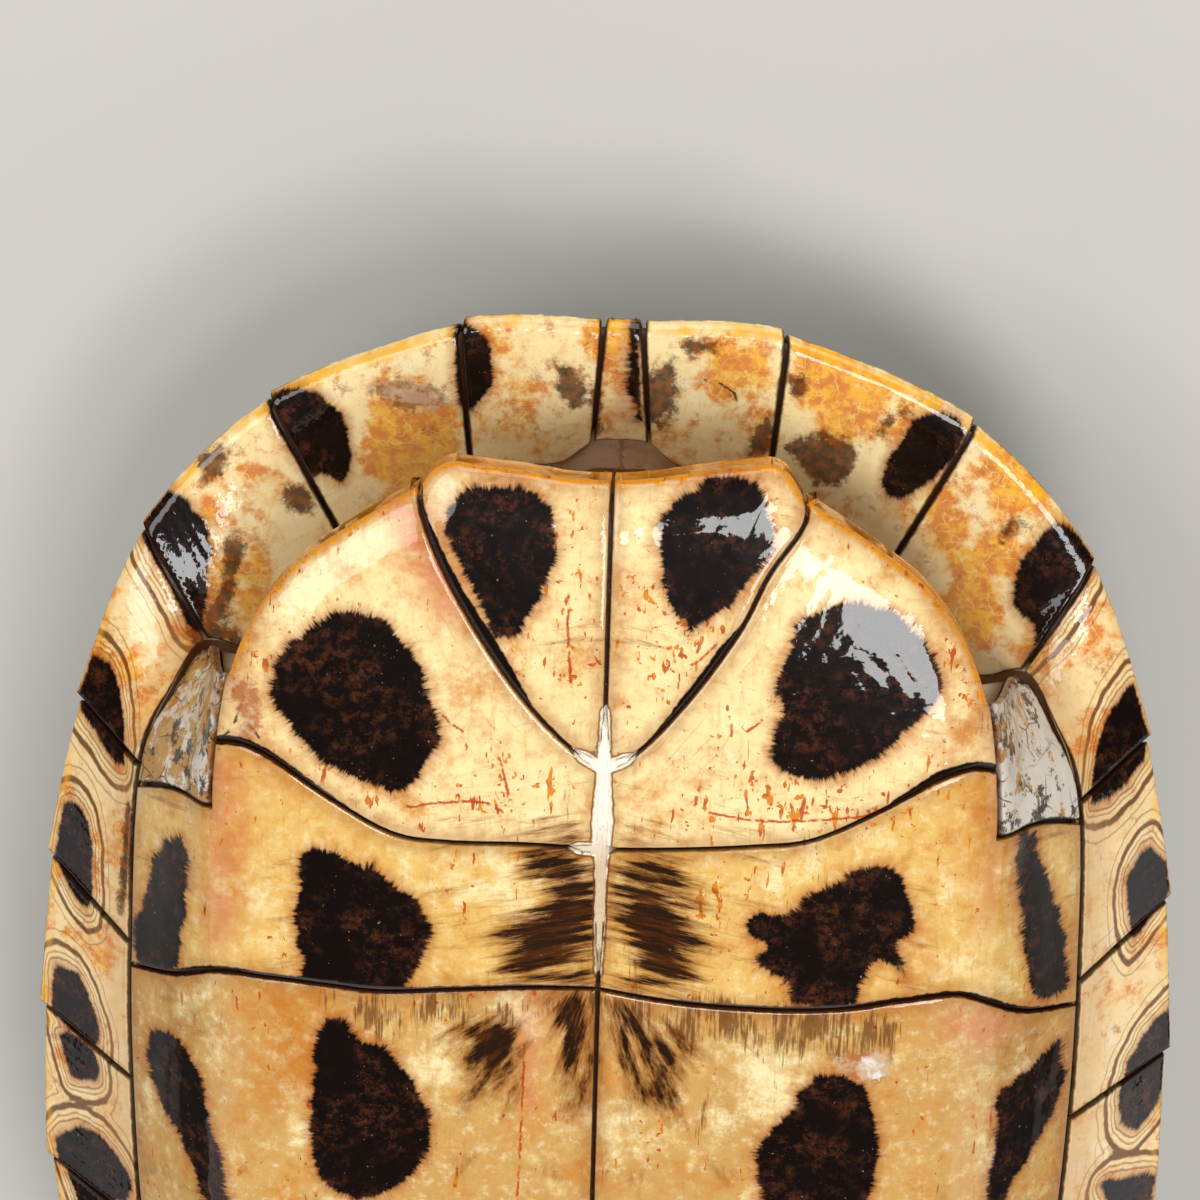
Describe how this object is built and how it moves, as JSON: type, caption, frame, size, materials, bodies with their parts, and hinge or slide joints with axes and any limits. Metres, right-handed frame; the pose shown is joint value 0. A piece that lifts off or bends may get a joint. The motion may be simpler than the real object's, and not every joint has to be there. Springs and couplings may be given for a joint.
{
  "type": "slider turtle shell",
  "caption": "Whole bony turtle shell, a domed back joined to a flat belly plate, covered in horny scutes with dark blotches.",
  "frame": {"origin": "centre of the shell's outline, at the level of the surface its crown rests on", "axes": "+Z out of the belly plate, which is up; +Y towards the head opening; +X towards the turtle's own left"},
  "size_m": [0.1502, 0.1965, 0.076],
  "materials": {
    "bone": "satin",
    "belly_scute": "gloss",
    "rim_scute": "gloss",
    "back_scute": "gloss"
  },
  "bodies": {
    "root": {"carapace_bone": "bone", "plastron_bone": "bone", "nuchal": "rim_scute", "marginal_01_left": "rim_scute", "marginal_01_right": "rim_scute", "marginal_02_left": "rim_scute", "marginal_02_right": "rim_scute", "marginal_03_left": "rim_scute", "marginal_03_right": "rim_scute", "marginal_04_left": "rim_scute", "marginal_04_right": "rim_scute", "marginal_05_left": "rim_scute", "marginal_05_right": "rim_scute", "marginal_06_left": "rim_scute", "marginal_06_right": "rim_scute", "marginal_07_left": "rim_scute", "marginal_07_right": "rim_scute", "marginal_08_left": "rim_scute", "marginal_08_right": "rim_scute", "marginal_09_left": "rim_scute", "marginal_09_right": "rim_scute", "marginal_10_left": "rim_scute", "marginal_10_right": "rim_scute", "marginal_11_left": "rim_scute", "marginal_11_right": "rim_scute", "marginal_12_left": "rim_scute", "marginal_12_right": "rim_scute", "vertebral_1": "back_scute", "vertebral_2": "back_scute", "vertebral_3": "back_scute", "vertebral_4": "back_scute", "vertebral_5": "back_scute", "costal_1_left": "back_scute", "costal_1_right": "back_scute", "costal_2_left": "back_scute", "costal_2_right": "back_scute", "costal_3_left": "back_scute", "costal_3_right": "back_scute", "costal_4_left": "back_scute", "costal_4_right": "back_scute", "gular_left": "belly_scute", "gular_right": "belly_scute", "humeral_left": "belly_scute", "humeral_right": "belly_scute", "pectoral_left": "belly_scute", "pectoral_right": "belly_scute", "abdominal_left": "belly_scute", "abdominal_right": "belly_scute", "femoral_left": "belly_scute", "femoral_right": "belly_scute", "anal_left": "belly_scute", "anal_right": "belly_scute", "axillary_left": "belly_scute", "axillary_right": "belly_scute", "inguinal_left": "belly_scute", "inguinal_right": "belly_scute"}
  },
  "joints": []
}
